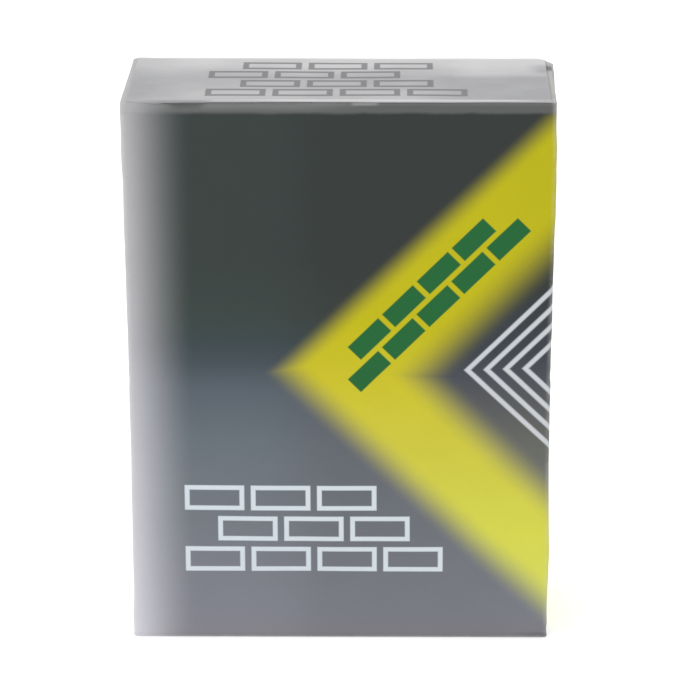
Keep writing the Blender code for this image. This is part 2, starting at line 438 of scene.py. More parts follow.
def laid_on(fine, coarse, offsets):
    """Offsets of the coarse rings, carried over to the rings of the fine box."""
    closed = np.concatenate([offsets, offsets[:, :1]], axis=1)
    by_column = np.array([
        [np.interp(fine.along[:-1], coarse.along, ring[:, axis]) for axis in range(3)]
        for ring in closed
    ])
    by_level = np.array([
        [np.interp(fine.levels, coarse.levels, by_column[:, axis, column]) for axis in range(3)]
        for column in range(fine.around)
    ])
    return smooth_grid(by_level.transpose(2, 0, 1), passes=4)


sack_box = PaperBox(
    panel_lines(HALF_WIDTH, FINE_STEP, FINE_EDGE, (SEAM_X, SEAM_X + SEAM_EDGE)),
    panel_lines(HALF_DEPTH, FINE_STEP, FINE_EDGE),
    level_lines(FINE_STEP, fold_steps=4),
)
coarse_box = PaperBox(
    panel_lines(HALF_WIDTH, COARSE_STEP, COARSE_EDGE),
    panel_lines(HALF_DEPTH, COARSE_STEP, COARSE_EDGE),
    level_lines(COARSE_STEP, fold_steps=1),
)
play = laid_on(sack_box, coarse_box, settle_paper(coarse_box))
travel = np.linalg.norm(play, axis=-1, keepdims=True)
play = play * MOST_PLAY / (MOST_PLAY + travel)
front_share = np.clip(1 - np.abs(sack_box.loop[:, 1] + HALF_DEPTH) / FRONT_REACH, 0.0, 1.0)
sack_box.rings += play * (1 - (1 - FRONT_PLAY) * front_share)[None, :, None]

# Handling leaves creases and dents in the paper. Each is a line on it, given by the way round from
# the front left edge and the height of its two ends, with its depth and half its width, in metres.
# The flat tube's gussets leave a slanted line at each side of each end of both narrow sides.
SIDE_MIDDLES = {
    "right side": 2 * HALF_WIDTH + HALF_DEPTH,
    "left side": 4 * HALF_WIDTH + 3 * HALF_DEPTH,
}
GUSSET_REACH = 0.063
GUSSET_ENDS = {"lower gusset": (0.0010, GUSSET_REACH), "upper gusset": (0.4200, -GUSSET_REACH)}
GUSSET_LINE = (0.00060, 0.0026)
CREASES = {
    "fold across the middle of the front": ((-0.01, 0.2105), (0.326, 0.2125), 0.00035, 0.0045),
    "fold across the middle of the back": ((0.440, 0.2140), (0.765, 0.2090), 0.00070, 0.0042),
    "fold across the right side": ((0.312, 0.2125), (0.450, 0.2140), 0.00060, 0.0040),
    "fold across the left side": ((0.758, 0.2090), (0.895, 0.2105), 0.00060, 0.0040),
}
for side, middle in SIDE_MIDDLES.items():
    for gusset, (at_end, rise) in GUSSET_ENDS.items():
        for hand, reach in (("left of the", -GUSSET_REACH), ("right of the", GUSSET_REACH)):
            gusset_ends = ((middle + reach, at_end), (middle, at_end + rise))
            CREASES[f"{side}, {hand} {gusset}"] = (*gusset_ends, *GUSSET_LINE)
CREASES.update({
    "short nick low on the front": ((0.259, 0.0047), (0.272, 0.0050), 0.00070, 0.0014),
    "longer nick low on the front": ((0.283, 0.0050), (0.2985, 0.0044), 0.00080, 0.0014),
    "crushed right foot of the front": ((0.304, 0.0020), (0.3195, 0.0080), 0.00110, 0.0022),
    "soft dent above the right foot": ((0.262, 0.0500), (0.318, 0.0180), 0.00035, 0.0060),
    "soft dent beside the left edge": ((0.004, 0.3300), (0.020, 0.2900), 0.00030, 0.0050),
    "dent in the back": ((0.560, 0.1200), (0.640, 0.1500), 0.00130, 0.0110),
    "handling mark high on the back": ((0.655, 0.3250), (0.720, 0.3040), 0.00110, 0.0060),
    "handling mark low on the back": ((0.470, 0.0620), (0.535, 0.0480), 0.00090, 0.0055),
    "handling mark on the left side": ((0.790, 0.2900), (0.850, 0.3080), 0.00080, 0.0050),
    "handling mark on the right side": ((0.345, 0.1350), (0.410, 0.1240), 0.00080, 0.0050),
    "corner dent at the back right": ((0.430, 0.4060), (0.452, 0.3900), 0.00080, 0.0050),
})
CREASE_WANDER = 0.0012
WANDER_LENGTH = 0.06
FULL_WANDER_HALF = 0.004
FRONT_RUMPLE = 0.00012
RUMPLE = 0.00045
RUMPLE_LENGTH = 0.045
RUMPLE_EASE = 0.02
CREASE_END_EASE = 0.004
CREASE_END_SHARE = 0.25


def outward_directions(ring):
    """The outward direction at each point of a ring, in plan."""
    tangent = np.roll(ring, -1, axis=0) - np.roll(ring, 1, axis=0)
    outward = np.stack([tangent[:, 1], -tangent[:, 0], 0.0 * tangent[:, 0]], axis=-1)
    return outward / np.linalg.norm(outward, axis=1, keepdims=True)


def crease_depth(way_round, heights):
    """How deep the creases and the rumple press the paper in, at a place on it."""
    all_round = sack_box.along[-1]
    off_front = ease_step(way_round, 2 * HALF_WIDTH, 2 * HALF_WIDTH + RUMPLE_EASE)
    off_front = off_front * (1 - ease_step(way_round, all_round - RUMPLE_EASE, all_round))
    rumple = FRONT_RUMPLE + (RUMPLE - FRONT_RUMPLE) * off_front
    depth = -rumple * soft_waves(way_round, heights, RUMPLE_LENGTH, seed=71)
    for seed, (start, end, most, half) in enumerate(CREASES.values()):
        run, rise = end[0] - start[0], end[1] - start[1]
        share = ((way_round - start[0]) * run + (heights - start[1]) * rise) / (run**2 + rise**2)
        share = np.clip(share, 0.0, 1.0)
        wander = CREASE_WANDER * min(1.0, half / FULL_WANDER_HALF)
        wander = wander * soft_waves(way_round, heights, WANDER_LENGTH, seed)
        off_round = way_round - start[0] - share * run
        off_height = heights - start[1] - share * rise + wander
        aside = (off_round**2 + off_height**2) / half**2
        inner_share = (1 - CREASE_END_SHARE) * np.sin(math.pi * share) ** 0.5
        depth = depth + most * np.exp(-aside) * (CREASE_END_SHARE + inner_share)
    return depth


ring_outward = outward_directions(sack_box.rings[len(sack_box.levels) // 2])
pressed = crease_depth(sack_box.along[None, :-1], sack_box.levels[:, None])
from_ends = np.minimum(sack_box.levels - SACK_BASE, SACK_TOP - sack_box.levels)
pressed = pressed * ease_step(from_ends, 0.0, CREASE_END_EASE)[:, None]
sack_box.rings -= pressed[..., None] * ring_outward[None, :, :]

# The folded ends are soft. The top sags in shallow hollows, with a bed pressed into it where the
# valve sleeve lies and a short hollow under the front of its cover, and one corner is dog-eared.
TOP_SKIN = 0.001
TOP_SAG = 0.0004
TOP_SAG_REACH = 0.014
SAG_UNEVEN = 0.5
SAG_LENGTH = 0.09
TOP_RISE = 0.0010
RISE_FROM_X = 0.05
RISE_FROM_Y = -0.03
BED_LOW_X = 0.085
BED_HALF_Y = 0.0492
BED_DEPTH = 0.0017
BED_EASE = 0.0022
BED_REACH = 0.005
HOLLOW_X = (-0.127, -0.092)
HOLLOW_EASE = 0.012
HOLLOW_FRONT = (0.050, 0.0595)
HOLLOW_REACH = 0.005
HOLLOW_IN = 0.0018
HOLLOW_DOWN = 0.0012
EAR_ALONG_X = 0.006
EAR_ALONG_Y = 0.0115
EAR_ALONG_Z = 0.005
EAR_X = HALF_WIDTH + BULGE_OUT - END_FOLD
EAR_Y = HALF_DEPTH - SHOULDER_INSET


def press_top(points):
    """Sag the top end, press in the bed of the sleeve, and hollow the front under the cover."""
    x, y, z = points[..., 0].copy(), points[..., 1].copy(), points[..., 2].copy()
    near_top = ease_step(z, SACK_TOP - TOP_SAG_REACH, SACK_TOP - TOP_SKIN)
    hills = soft_waves(x, y, SAG_LENGTH, seed=21)
    sag = TOP_SAG * near_top * (1 + SAG_UNEVEN * hills) / (1 + SAG_UNEVEN)
    rise = near_top * ease_step(y, RISE_FROM_Y, HALF_DEPTH) * ease_step(-x, -RISE_FROM_X, HALF_WIDTH)
    sag = sag - TOP_RISE * rise
    in_bed = ease_step(x, BED_LOW_X - BED_EASE, BED_LOW_X)
    in_bed = in_bed * (1 - ease_step(np.abs(y), BED_HALF_Y - BED_EASE, BED_HALF_Y))
    bed = BED_DEPTH * in_bed * ease_step(z, SACK_TOP - BED_REACH, SACK_TOP - END_FOLD / 2)
    hollow = ease_step(x, HOLLOW_X[0], HOLLOW_X[0] + HOLLOW_EASE)
    hollow = hollow * (1 - ease_step(x, HOLLOW_X[1] - HOLLOW_EASE, HOLLOW_X[1]))
    hollow = hollow * ease_step(-y, *HOLLOW_FRONT)
    hollow = hollow * ease_step(z, SACK_TOP - HOLLOW_REACH, SACK_TOP - TOP_SKIN)
    points[..., 1] = y + HOLLOW_IN * hollow
    points[..., 2] = z - sag - bed - HOLLOW_DOWN * hollow


def fold_ear(points):
    """Press everything beyond the plane of the dog-eared corner back onto it."""
    corner = np.array([EAR_X, EAR_Y, SACK_TOP])
    on_x = corner - (EAR_ALONG_X, 0.0, 0.0)
    on_y = corner - (0.0, EAR_ALONG_Y, 0.0)
    on_z = corner - (0.0, 0.0, EAR_ALONG_Z)
    outward = np.cross(on_y - on_x, on_z - on_x)
    outward = outward / np.linalg.norm(outward)
    if np.dot(outward, corner - on_x) < 0:
        outward = -outward
    beyond = np.maximum((points - on_x) @ outward, 0.0)
    points -= beyond[..., None] * outward


for points in (sack_box.rings, sack_box.end_points):
    press_top(points)
    fold_ear(points)

sack = put_in_scene("sack_paper_tube", sack_box.make_mesh("sack_paper_tube"))


def srgb(red, green, blue):
    """A colour given as it looks on a screen, in 0 to 255, as linear RGBA."""
    parts = [value / 255.0 for value in (red, green, blue)]
    return tuple(p / 12.92 if p <= 0.04045 else ((p + 0.055) / 1.055) ** 2.4 for p in parts) + (1.0,)


class Value:
    """What a node puts out. Arithmetic on values adds Math nodes to the tree that they are in."""

    def __init__(self, socket):
        self.socket = socket
        self.tree = socket.id_data

    def __add__(self, other):
        return calc("ADD", self, other)

    def __radd__(self, other):
        return calc("ADD", other, self)

    def __sub__(self, other):
        return calc("SUBTRACT", self, other)

    def __rsub__(self, other):
        return calc("SUBTRACT", other, self)

    def __mul__(self, other):
        return calc("MULTIPLY", self, other)

    def __truediv__(self, other):
        return calc("DIVIDE", self, other)

    def __abs__(self):
        return calc("ABSOLUTE", self)


def feed(socket, value):
    """Link a value to an input, or set the input to a plain number, vector or colour."""
    if isinstance(value, Value):
        value.tree.links.new(value.socket, socket)
    else:
        socket.default_value = value


def fill(node, **inputs):
    """Feed a node's inputs, each by its name with _ for the spaces; the node."""
    for name, value in inputs.items():
        feed(node.inputs[name.replace("_", " ")], value)
    return node


def add_node(tree, kind, output=0, **inputs):
    """A new node with its inputs fed; one of its outputs."""
    return Value(fill(tree.nodes.new(kind), **inputs).outputs[output])


def calc(operation, *values):
    """A Math node on one or two values; its result."""
    tree = next(value.tree for value in values if isinstance(value, Value))
    node = tree.nodes.new("ShaderNodeMath")
    node.operation = operation
    for socket, value in zip(node.inputs, values):
        feed(socket, value)
    return Value(node.outputs[0])


def multiply_colour(colour, other):
    """A colour times another one, part by part, or times a number; its result."""
    node = colour.tree.nodes.new("ShaderNodeVectorMath")
    node.operation = "MULTIPLY"
    feed(node.inputs[0], colour)
    feed(node.inputs[1], other)
    return Value(node.outputs[0])


def parts_of(vector):
    """The X, Y and Z of a vector."""
    node = fill(vector.tree.nodes.new("ShaderNodeSeparateXYZ"), Vector=vector)
    return [Value(socket) for socket in node.outputs]


def ease(value, low, high, to_low=0.0, to_high=1.0):
    """A smooth step from to_low at low to to_high at high; its result."""
    node = value.tree.nodes.new("ShaderNodeMapRange")
    node.interpolation_type = "SMOOTHSTEP"
    fill(node, From_Min=low, From_Max=high, To_Min=to_low, To_Max=to_high, Value=value)
    return Value(node.outputs["Result"])


def ease_down(value, low, high, to_low=1.0):
    """A smooth step down to 0 at high; its result."""
    return ease(value, low, high, to_low, 0.0)


def blend_colours(share, under, over):
    """Lay one colour over another by a share; its result."""
    node = share.tree.nodes.new("ShaderNodeMix")
    node.data_type = "RGBA"
    feed(node.inputs["Factor"], share)
    feed(node.inputs[6], under)
    feed(node.inputs[7], over)
    return Value(node.outputs[2])


def print_over(colour, layers):
    """Print layers on a colour, each a share and the colour of its ink; the result."""
    for share, ink in layers:
        colour = blend_colours(share, colour, ink)
    return colour


def ramp(value, stops):
    """A colour ramp through stops, each a position and a colour for srgb; its result."""
    node = fill(value.tree.nodes.new("ShaderNodeValToRGB"), Fac=value)
    while len(node.color_ramp.elements) < len(stops):
        node.color_ramp.elements.new(0.5)
    for element, (position, *colour) in zip(node.color_ramp.elements, stops):
        element.position = position
        element.color = srgb(*colour)
    return Value(node.outputs["Color"])


def cloudy(place, scale, detail):
    """Noise of a given scale, in features per metre; its grey value."""
    return add_node(
        place.tree, "ShaderNodeTexNoise", "Fac", Vector=place, Scale=scale, Detail=detail, Roughness=0.6
    )


def around_zero(value, amount):
    """A grey value brought to about zero and scaled by an amount."""
    return (value - 0.5) * amount


def new_group(name, inputs, outputs, tree_type="ShaderNodeTree"):
    """An empty node group, the values of its inputs, and the sockets that it puts out by. An input
    is given by the number or colour that it has at first, or else by its kind."""
    group = bpy.data.node_groups.new(name, tree_type)
    for label, value in inputs.items():
        kind = {float: "NodeSocketFloat", tuple: "NodeSocketColor"}.get(type(value), value)
        socket = group.interface.new_socket(label, in_out="INPUT", socket_type=kind)
        if kind != value:
            socket.default_value = value
    for label, kind in outputs.items():
        group.interface.new_socket(label, in_out="OUTPUT", socket_type=kind)
    given = {socket.name: Value(socket) for socket in group.nodes.new("NodeGroupInput").outputs}
    return group, given, group.nodes.new("NodeGroupOutput").inputs


def place_group(tree, group, **inputs):
    """Use a node group in a material, with its own values; its outputs."""
    node = tree.nodes.new("ShaderNodeGroup")
    node.node_tree = group
    return {socket.name: Value(socket) for socket in fill(node, **inputs).outputs}


# Courses of bricks laid in running bond are the sack's ornament, in outline or solid. Each course
# above the first is one brick shorter, and every second one starts half a brick in.
course_group, course_in, course_out = new_group(
    "brick_courses",
    {
        "Across": 0.0, "Up": 0.0, "Brick Length": 50.0, "Course Height": 25.0, "Joint": 5.0,
        "Line": 4.0, "Bricks": 4.0, "Courses": 3.0, "Softness": 0.5,
    },
    {"Ink": "NodeSocketFloat"},
)
courses_up = course_in["Up"] / course_in["Course Height"]
course = calc("FLOOR", courses_up)
bricks_across = course_in["Across"] / course_in["Brick Length"] - calc("MODULO", course, 2.0) * 0.5
brick = calc("FLOOR", bricks_across)


def beyond_brick(position, pitch):
    """How far a place is beyond the edge of its brick, along one way."""
    off_middle = abs(calc("FRACT", position) - 0.5)
    return off_middle * pitch - (pitch - course_in["Joint"]) * 0.5


outside = calc(
    "MAXIMUM",
    beyond_brick(bricks_across, course_in["Brick Length"]),
    beyond_brick(courses_up, course_in["Course Height"]),
)
half_line = course_in["Line"] * 0.5
off_line = abs(outside + half_line) - half_line
inked = ease_down(off_line, course_in["Softness"] * -1.0, course_in["Softness"])
last_brick = course_in["Bricks"] - (calc("MINIMUM", course, 1.0) + 0.5)
laid = calc("GREATER_THAN", bricks_across, 0.0) * calc("LESS_THAN", brick, last_brick)
last_course = course_in["Courses"] - 0.5
stacked = calc("GREATER_THAN", course_in["Up"], 0.0) * calc("LESS_THAN", course, last_course)
feed(course_out["Ink"], inked * (laid * stacked))

# Coated sack paper: a fine felt of fibres, a soft mottle where the plies are stuck together, and
# print rubbed away along the folds. All paper of the sack has it.
BARE_PAPER = srgb(196, 194, 190)
FIBRE_STRETCH = (1.0, 1.0, 0.35)
FIBRE_SCALE = 900.0
FELT_SCALE = 260.0
MOTTLE_SCALE = 38.0
CLOUD_SCALE = 9.0
FELT_TONE = 0.8
CLOUD_TONE = 1.2
FELT_WEAR = 0.4
WORN_PATCHES = (0.40, 0.60, 0.45, 1.0)
MOTTLE_ROUGHNESS = 0.12
WORN_ROUGHNESS = 0.2
FIBRE_RELIEF = 0.25
FELT_RELIEF = 0.35
MOTTLE_RELIEF = 0.9
PAPER_SPECULAR = 0.15
PAPER_BUMP = 0.5
paper_group, paper_in, paper_out = new_group(
    "sack_paper",
    {
        "Color": (0.5, 0.5, 0.5, 1.0), "Rub": 0.0, "Bare Paper": BARE_PAPER, "Mottle": 0.06,
        "Base Roughness": 0.5,
    },
    {"Color": "NodeSocketColor", "Roughness": "NodeSocketFloat", "Height": "NodeSocketFloat"},
)
paper_place = add_node(paper_group, "ShaderNodeTexCoord", "Object")
stretched = add_node(paper_group, "ShaderNodeMapping", Vector=paper_place, Scale=FIBRE_STRETCH)
fibre = cloudy(stretched, FIBRE_SCALE, 3.0)
felt = cloudy(paper_place, FELT_SCALE, 4.0)
mottle = cloudy(paper_place, MOTTLE_SCALE, 4.0)
cloud = cloudy(paper_place, CLOUD_SCALE, 2.0)
shade = around_zero(mottle, paper_in["Mottle"]) + around_zero(felt, paper_in["Mottle"] * FELT_TONE)
shade = shade + 1.0 + around_zero(cloud, paper_in["Mottle"] * CLOUD_TONE)
toned = multiply_colour(paper_in["Color"], shade)
worn = paper_in["Rub"] * ease(felt * FELT_WEAR + mottle * (1 - FELT_WEAR), *WORN_PATCHES)
rough = paper_in["Base Roughness"] + around_zero(mottle, MOTTLE_ROUGHNESS)
feed(paper_out["Color"], blend_colours(worn, toned, paper_in["Bare Paper"]))
feed(paper_out["Roughness"], rough + worn * WORN_ROUGHNESS)
feed(paper_out["Height"], fibre * FIBRE_RELIEF + felt * FELT_RELIEF + mottle * MOTTLE_RELIEF)


def finish_paper(material, colour, rub=0.0, mottle=0.06, roughness=0.5, grain=0.00012):
    """The shared paper effect over a material's colour, and its shader."""
    tree = material.node_tree
    effect = place_group(
        tree, paper_group, Color=colour, Rub=rub, Bare_Paper=BARE_PAPER, Mottle=mottle,
        Base_Roughness=roughness,
    )
    bump = add_node(
        tree, "ShaderNodeBump", Strength=PAPER_BUMP, Distance=grain, Height=effect["Height"]
    )
    fill(
        tree.nodes["Principled BSDF"], Base_Color=effect["Color"], Roughness=effect["Roughness"],
        Specular_IOR_Level=PAPER_SPECULAR, Normal=bump,
    )


# The front's colours, in millimetres along the paper: a dark field that grows paler downwards and
# towards its left edge, a printed broad yellow chevron with misty edges, and four thin pale printed
# chevrons inside it. The design repeats after one broad and one narrow face, so it goes round the
# corners and again on the back.
MILLIMETRES = 1000.0
REPEAT = 445.0
FACE_WIDTH = 316.0
FACE_HEIGHT = 422.5
LAP_EDGE = REPEAT + FACE_WIDTH / 2 - SEAM_X * MILLIMETRES
SIDE_CREASE = (FACE_WIDTH + REPEAT) / 2
DIAGONAL = 1 / math.sqrt(2)
FADE_WIDTH = (51.5, 47.5)
FADE_POWER = (1.88, 1.6)
OUTER_SLOPE = 0.974
OUTER_FALL = 0.974
CHEVRON_OUTER = (318.8, -88.4)
OUTER_TURN = (265.0, 325.0, 0.0, 3.0)
OUTER_MIST = (22.0, 32.0)
INNER_SLOPE = 1.035
CHEVRON_INNER = (433.5, 8.6)
INNER_MIST = (40.0, 36.0)
INNER_FIELD_DOWN = (0.33, 0.38)
MIST_EDGE = 0.7
THIN_SLOPE = 0.965
THIN_FIRST = (457.6, 40.6)
THIN_PITCH = (14.2, 14.15)
THIN_COUNT = 4
THIN_WIDTH = 3.5
THIN_BLUR = 0.8
FRONT_COURSES = {
    "Brick_Length": 50.0, "Course_Height": 25.0, "Joint": 5.0, "Line": 3.6, "Bricks": 4.0, "Courses": 3.0,
}
FRONT_COURSES_LEFT = 38.0
FRONT_COURSES_FOOT = 369.0
ARM_COURSES = {
    "Brick_Length": 36.0, "Course_Height": 18.0, "Joint": 4.0, "Line": 9.0, "Bricks": 5.0, "Courses": 2.0,
}
ARM_COURSES_LEFT = -50.0
ARM_COURSES_FOOT = 398.0

# The colours, as they look on a screen. The ones that change down the face, all growing paler
# towards the foot, are lists of stops, each a share of the face's height and a colour.
DARK_STOPS = [
    (0.0, 44, 48, 47),
    (0.28, 44, 48, 47),
    (0.38, 46, 52, 50),
    (0.43, 48, 55, 57),
    (0.47, 57, 61, 68),
    (0.52, 73, 77, 85),
    (0.62, 87, 91, 98),
    (0.79, 98, 101, 108),
    (0.95, 109, 111, 119),
    (1.0, 114, 113, 117),
]
INNER_STOPS = [
    (0.36, 46, 52, 56),
    (0.45, 52, 57, 64),
    (0.50, 66, 69, 75),
    (0.56, 80, 81, 82),
    (0.64, 93, 95, 89),
    (0.85, 101, 104, 108),
]
LIGHT_STOPS = [
    (0.0, 168, 167, 170),
    (0.44, 170, 169, 173),
    (0.51, 177, 176, 181),
    (0.8, 188, 187, 193),
    (1.0, 198, 197, 204),
]
YELLOW_STOPS = [
    (0.0, 165, 159, 8),
    (0.4, 173, 165, 9),
    (0.5, 181, 172, 32),
    (0.64, 186, 180, 57),
    (0.8, 193, 193, 70),
    (1.0, 197, 202, 92),
]
LEFT_TINT = (1.09, 1.25, 1.22, 1.0)
LEFT_TINT_FOOT = (1.17, 1.15, 1.16, 1.0)
LEFT_TINT_ACROSS = (95.0, 165.0)
LEFT_TINT_DOWN = (0.4, 0.95)
THIN_INK = srgb(187, 190, 194)
THIN_DENSITY = 0.95
GREEN_INK = srgb(5, 88, 45)
GREEN_DENSITY = 0.98
PALE_INK = srgb(197, 205, 212)
PALE_DENSITY = 0.93
SHOULDER_INK = srgb(85, 86, 86)
SHOULDER_PALE = srgb(108, 109, 109)
END_INK = srgb(165, 165, 167)
# The next colour is a painted shade along the foot of the faces.
FOOT_SHADE = srgb(48, 46, 44)

# The shoulder's band, the lap, the painted highlight under the front lip, the painted shade along the
# foot and the rubbed places, in millimetres across the face, down it or off a line on it. A pair is
# where a smooth step begins and ends, and what follows the pair is its share at the start, and at the
# end unless that is 0. The frayed lap steps on noise.
SHOULDER_EDGE = (6.3, 9.5)
SHOULDER_UNEVEN = 2.4
SHOULDER_GRAIN = 60.0
SHOULDER_PALE_DOWN = (2.0, 8.0)
SHOULDER_PALE_ACROSS = (120.0, 190.0)
END_EDGE = (0.8, 1.1)
BROAD_LEFT = (-20.0, 46.0)
BROAD_RIGHT = (310.0, 326.0)
LAP_LINE = (0.15, 0.5, 0.75)
LAP_GRAIN = 45.0
LAP_FRAYED = (0.35, 0.65, 0.25, 1.0)
# Painted highlight: bare paper colour just under the front lip, strongest where the lip's bright edge
# dips, and faint along the right.
UNDER_LIP_HIGHLIGHT_MIDDLE = 177.0
UNDER_LIP_HIGHLIGHT_REACH = (6.0, 12.0, 0.35)
UNDER_LIP_HIGHLIGHT_TAIL = (120.0, 150.0, 0.0, 0.08)
UNDER_LIP_HIGHLIGHT_DOWN = (1.6, 3.6)
# Painted shade: a thin dark line about 3 mm above the foot, strongest at the right foot, where the paper
# turns under.
FOOT_SHADE_LINE = FACE_HEIGHT - 3.0
FOOT_SHADE_REACH = (0.4, 2.4)
FOOT_SHADE_ACROSS = (285.0, 308.0, 0.05, 0.30)
CORNER_RUB = (0.0, 4.5, 0.26)
FOOT_RUB = (FACE_HEIGHT - 3.5, FACE_HEIGHT - 0.5, 0.0, 0.20)
CREASE_RUB = (0.2, 2.2, 0.15)

print_material = new_material("printed_paper")
tree = print_material.node_tree
wrap_node = tree.nodes.new("ShaderNodeUVMap")
wrap_node.uv_map = "wrap"
wrap = Value(wrap_node.outputs["UV"])
wrap_x, wrap_y, _ = parts_of(wrap)
way_round = wrap_x * MILLIMETRES
across = calc("MODULO", way_round, REPEAT)
down = FACE_HEIGHT - wrap_y * MILLIMETRES
down_share = down / FACE_HEIGHT
upper = across + down
lower = across - down
to_edge = calc("MINIMUM", across, REPEAT - across)


def inside_chevron(above, below, corner, widths):
    """How far a place is inside a chevron's outline, in widths of its mist or pitch."""
    above = (above - corner[0]) / widths[0]
    below = (below - corner[1]) / widths[1]
    return calc("MINIMUM", above, below)


def down_the_face(limits):
    """A value that goes evenly from its upper limit at the top to its lower one at the bottom."""
    return limits[0] + down_share * (limits[1] - limits[0])


outer_lower = across * OUTER_FALL - down - ease(across, *OUTER_TURN)
outer = inside_chevron(across * OUTER_SLOPE + down, outer_lower, CHEVRON_OUTER, OUTER_MIST)
inner = inside_chevron(across * INNER_SLOPE + down, lower, CHEVRON_INNER, INNER_MIST)
yellow_share = ease(outer, -MIST_EDGE, MIST_EDGE) * ease_down(inner, -MIST_EDGE, MIST_EDGE)
within = ease(inner, -MIST_EDGE, 1.0) * ease(down_share, *INNER_FIELD_DOWN)
thin_place = inside_chevron(upper, across * THIN_SLOPE - down, THIN_FIRST, THIN_PITCH)
nearest = calc("MINIMUM", calc("MAXIMUM", calc("ROUND", thin_place), 0.0), THIN_COUNT - 1.0)
thin_off = abs(thin_place - nearest) * (THIN_PITCH[0] * DIAGONAL)
thin_share = ease_down(thin_off, THIN_WIDTH / 2 - THIN_BLUR, THIN_WIDTH / 2 + THIN_BLUR)
fade = calc("MAXIMUM", 1.0 - to_edge / down_the_face(FADE_WIDTH), 0.0)
fade = calc("POWER", fade, down_the_face(FADE_POWER))
front_courses = place_group(
    tree, course_group,
    Across=across - FRONT_COURSES_LEFT, Up=FRONT_COURSES_FOOT - down, **FRONT_COURSES,
)["Ink"]
arm_courses = place_group(
    tree, course_group,
    Across=(lower - ARM_COURSES_LEFT) * DIAGONAL, Up=(ARM_COURSES_FOOT - upper) * DIAGONAL, **ARM_COURSES,
)["Ink"]
dark = ramp(down_share, DARK_STOPS)
tint = blend_colours(ease(down_share, *LEFT_TINT_DOWN), LEFT_TINT, LEFT_TINT_FOOT)
uneven = around_zero(cloudy(wrap, SHOULDER_GRAIN, 3.0), SHOULDER_UNEVEN)
shoulder = ease_down(down + uneven, *SHOULDER_EDGE)
on_broad = ease(across, *BROAD_LEFT) * ease_down(across, *BROAD_RIGHT)
in_band = shoulder * on_broad
pale_share = ease_down(down, *SHOULDER_PALE_DOWN) * ease_down(across, *SHOULDER_PALE_ACROSS)
lap_edge = ease_down(abs(way_round - LAP_EDGE), *LAP_LINE)
frayed = ease(cloudy(wrap, LAP_GRAIN, 3.0), *LAP_FRAYED)
# Painted highlight just under the lip, in bare paper colour.
under_lip_highlight = ease(abs(across - UNDER_LIP_HIGHLIGHT_MIDDLE), *UNDER_LIP_HIGHLIGHT_REACH, ease(across, *UNDER_LIP_HIGHLIGHT_TAIL))
under_lip_highlight = under_lip_highlight * ease_down(down, *UNDER_LIP_HIGHLIGHT_DOWN)
foot_shade_share = ease_down(abs(down - FOOT_SHADE_LINE), *FOOT_SHADE_REACH, ease(across, *FOOT_SHADE_ACROSS))
field = print_over(dark, (
    (ease_down(across, *LEFT_TINT_ACROSS), multiply_colour(dark, tint)),
    (within, ramp(down_share, INNER_STOPS)),
    (yellow_share, ramp(down_share, YELLOW_STOPS)),
    (thin_share * THIN_DENSITY, THIN_INK),
    (arm_courses * GREEN_DENSITY, GREEN_INK),
    (front_courses * PALE_DENSITY, PALE_INK),
    (fade, ramp(down_share, LIGHT_STOPS)),
    (in_band, blend_colours(pale_share, SHOULDER_INK, SHOULDER_PALE)),
    (shoulder - in_band, END_INK),
    (ease_down(down, *END_EDGE), END_INK),
    (lap_edge * frayed, BARE_PAPER),
    # painted highlight under the lip
    (under_lip_highlight * on_broad, BARE_PAPER),
    # painted shade along the foot
    (foot_shade_share, FOOT_SHADE),
))
off_corner = calc("MINIMUM", to_edge, abs(across - FACE_WIDTH))
edge_rub = calc("MAXIMUM", ease_down(off_corner, *CORNER_RUB), ease(down, *FOOT_RUB))
crease_rub = ease_down(abs(across - SIDE_CREASE), *CREASE_RUB)
finish_paper(print_material, field, rub=calc("MAXIMUM", crease_rub, edge_rub))
sack.data.materials.append(print_material)
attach(sack, "root")
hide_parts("sack")


# The valve sleeve is a flat tube of unprinted paper that the sack is filled through. It lies on
# the folded top end under the cover sheet, and its slightly gaping mouth shows at the right end.
SLEEVE_LOW, SLEEVE_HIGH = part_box("valve_sleeve")
SLEEVE_STATIONS = 24
SLEEVE_SPANS = 48
SLEEVE_FLATNESS = 0.78
SLEEVE_GAPE = 0.00015
SLEEVE_SWAY = 0.00008
SWAY_LENGTH = 0.04
BELLY_POWER = 0.6
MOUTH_STATIONS = 6
MOUTH_DEPTH = 0.012
MOUTH_TAPER = 0.8
PLY = 0.0003
SLEEVE_INK = srgb(172, 171, 169)
# Painted shadow of a fold: a dark band along the sleeve, near one side of its mouth.
SLEEVE_FOLD_SHADOW = srgb(96, 95, 94)
SLEEVE_FOLD_SHADOW_Y = 0.037
SLEEVE_FOLD_SHADOW_REACH = (0.003, 0.011, 0.8)


def sleeve_outline(x, half_width, half_height, middle, sway):
    """One outline of the flat tube: along its lower ply, and back along the upper one."""
    share = np.linspace(-1.0, 1.0, SLEEVE_SPANS + 1)
    belly = half_height * (1 - share**2) ** BELLY_POWER
    waves = middle + sway * soft_waves(share * half_width, 0.0 * share, SWAY_LENGTH, seed=33)
    lower_ply = [(x, half_width * s, z) for s, z in zip(share, waves - belly)]
    upper_ply = [(x, half_width * s, z) for s, z in zip(share, waves + belly)]
    return lower_ply + upper_ply[-2:0:-1]


